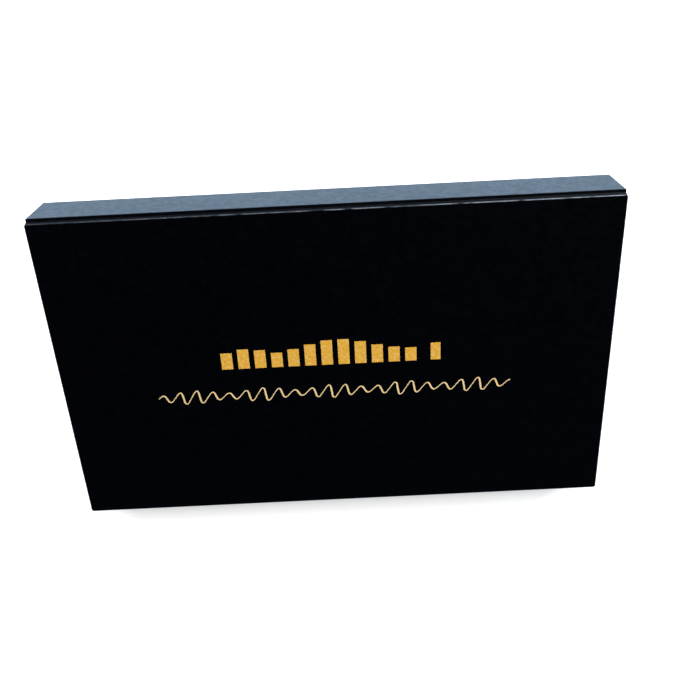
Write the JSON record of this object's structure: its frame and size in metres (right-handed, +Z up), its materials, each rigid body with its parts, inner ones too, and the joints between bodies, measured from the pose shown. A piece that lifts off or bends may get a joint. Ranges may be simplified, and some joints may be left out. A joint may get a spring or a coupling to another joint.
{
  "type": "vector network analyzer",
  "caption": "Handheld network analyzer in its black presentation box, with a book-style cover, magnetic front flap, foam bed and coaxial calibration pieces.",
  "frame": {"origin": "centre of the box's underside, on the face it rests on", "axes": "+X along the spine, +Y from the flap to the spine, +Z up through the cover"},
  "size_m": [0.25, 0.152, 0.0294],
  "materials": {
    "greyboard": "rough grey fibre board",
    "black_wrap": "black laid wrapping paper, soft touch, fine mottle",
    "lining": "black uncoated lining paper",
    "stay_tape": "brown gummed tape",
    "steel": "plain sheet and screws",
    "nickel": "nickel plated",
    "foam": "closed-cell black foam, matt",
    "foil": "hot-stamped gold foil",
    "shell_plastic": "fine spark texture",
    "cover_glass": "gloss cover lens",
    "panel_module": "display module",
    "circuit": "green solder mask",
    "tinned": "tinned steel",
    "chip": "moulded epoxy",
    "cell": "aluminium laminate pouch",
    "gold_plate": "gold plated",
    "plain_brass": "knurled insert",
    "switch_body": "moulded",
    "key_plastic": "satin",
    "light_pipe": "clear acrylic",
    "standard_metal": "passivated steel",
    "pick": "translucent celluloid"
  },
  "bodies": {
    "case": {"base_board": "greyboard", "spine_board": "greyboard", "case_wrap": "black_wrap", "base_lining": "lining", "spine_lining": "lining", "tray_walls": "greyboard", "tray_wrap": "black_wrap", "corner_stays": "stay_tape", "strike_plates": "steel", "foam_base": "foam", "foam_middle": "foam", "foam_top": "foam", "back_shell": "shell_plastic", "front_shell": "shell_plastic", "display_window": "cover_glass", "display_module": "panel_module", "main_board": "circuit", "shield_cans": "tinned", "board_chips": "chip", "battery": "cell", "port_jacks": "gold_plate", "jack_nuts": "gold_plate", "jack_washers": "gold_plate", "usb_socket": "tinned", "power_switch_body": "switch_body", "jog_switch_body": "switch_body", "shell_screws": "steel", "brass_inserts": "plain_brass", "light_pipes": "light_pipe", "open_standard": "standard_metal", "short_standard": "standard_metal", "load_standard": "standard_metal", "through_adapter": "gold_plate", "stylus_pick": "pick", "lid_crease": "black_wrap"},
    "lid": {"lid_board": "greyboard", "lid_wrap": "black_wrap", "lid_lining": "lining", "lid_pad": "foam", "foil_bars": "foil", "foil_wave": "foil"},
    "flap": {"flap_board": "greyboard", "flap_wrap": "black_wrap", "flap_lining": "lining", "flap_magnets": "nickel", "flap_crease": "black_wrap"},
    "power_slider": {"power_knob": "key_plastic"},
    "jog_slide": {"jog_carriage": "switch_body"},
    "jog_key": {"jog_lever": "key_plastic"},
    "open_coupling": {"open_nut": "standard_metal"},
    "short_coupling": {"short_nut": "standard_metal"},
    "load_coupling": {"load_nut": "standard_metal"}
  },
  "joints": [
    {"name": "lid_hinge", "type": "hinge", "parent": "case", "child": "lid", "pos_m": [0, 0.0755, 0.0268], "axis": [-1, 0, 0], "range_deg": [0, 180]},
    {"name": "flap_hinge", "type": "hinge", "parent": "lid", "child": "flap", "pos_m": [0, -0.07475, 0.0268], "axis": [-1, 0, 0], "range_deg": [0, 110]},
    {"name": "power_slide", "type": "slide", "parent": "case", "child": "power_slider", "axis": [-1, 0, 0], "range_m": [0, 0.002]},
    {"name": "jog_press", "type": "slide", "parent": "case", "child": "jog_slide", "axis": [0, -1, 0], "range_m": [0, 0.0004], "stiffness_N_per_m": 400},
    {"name": "jog_rock", "type": "hinge", "parent": "jog_slide", "child": "jog_key", "pos_m": [-0.043, 0.0141, 0.0175], "axis": [0, 0, 1], "range_deg": [-10, 10], "stiffness_Nm_per_rad": 0.002},
    {"name": "open_nut_spin", "type": "hinge", "parent": "case", "child": "open_coupling", "pos_m": [0.052, -0.05, 0.0195], "axis": [0, 1, 0], "continuous": true},
    {"name": "short_nut_spin", "type": "hinge", "parent": "case", "child": "short_coupling", "pos_m": [0.068, -0.05, 0.0195], "axis": [0, 1, 0], "continuous": true},
    {"name": "load_nut_spin", "type": "hinge", "parent": "case", "child": "load_coupling", "pos_m": [0.084, -0.05, 0.0195], "axis": [0, 1, 0], "continuous": true}
  ]
}
